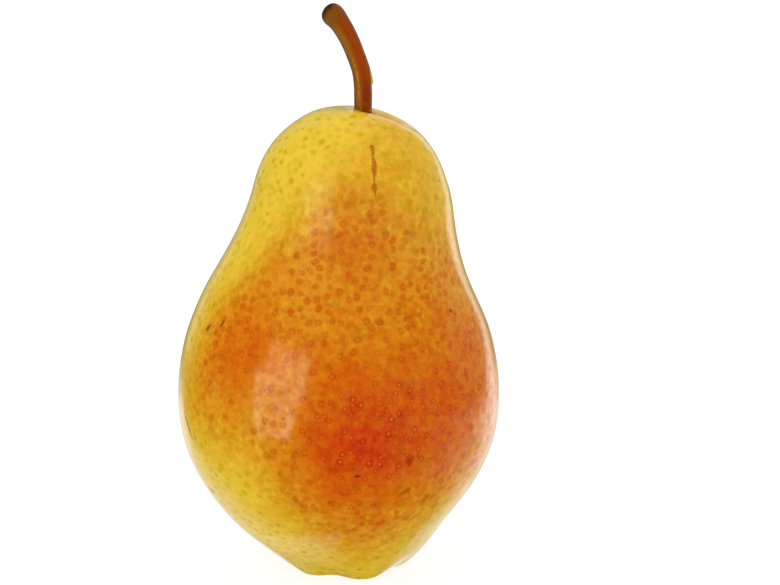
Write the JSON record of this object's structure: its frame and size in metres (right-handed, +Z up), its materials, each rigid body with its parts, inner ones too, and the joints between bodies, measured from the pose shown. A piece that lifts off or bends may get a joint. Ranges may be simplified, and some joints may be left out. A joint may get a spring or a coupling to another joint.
{
  "type": "pear",
  "caption": "Whole ripe pear with a broad belly, a leaning neck, a curved stem and a dried calyx in its base, standing upright.",
  "frame": {"origin": "on the surface the pear stands on, under the middle of the belly", "axes": "+Z up through the neck towards the stem; the broad side with the blush faces -Y, and the stem leans towards -X"},
  "size_m": [0.064, 0.0638, 0.1128],
  "materials": {
    "skin": "waxy fruit skin, golden yellow with an orange-red blush and fine pores",
    "stem_bark": "smooth red-brown woody stem with a satin sheen",
    "dried_calyx": "dry matt brown sepals"
  },
  "bodies": {
    "root": {"fruit_body": "skin", "stem": "stem_bark", "calyx": "dried_calyx"}
  },
  "joints": []
}
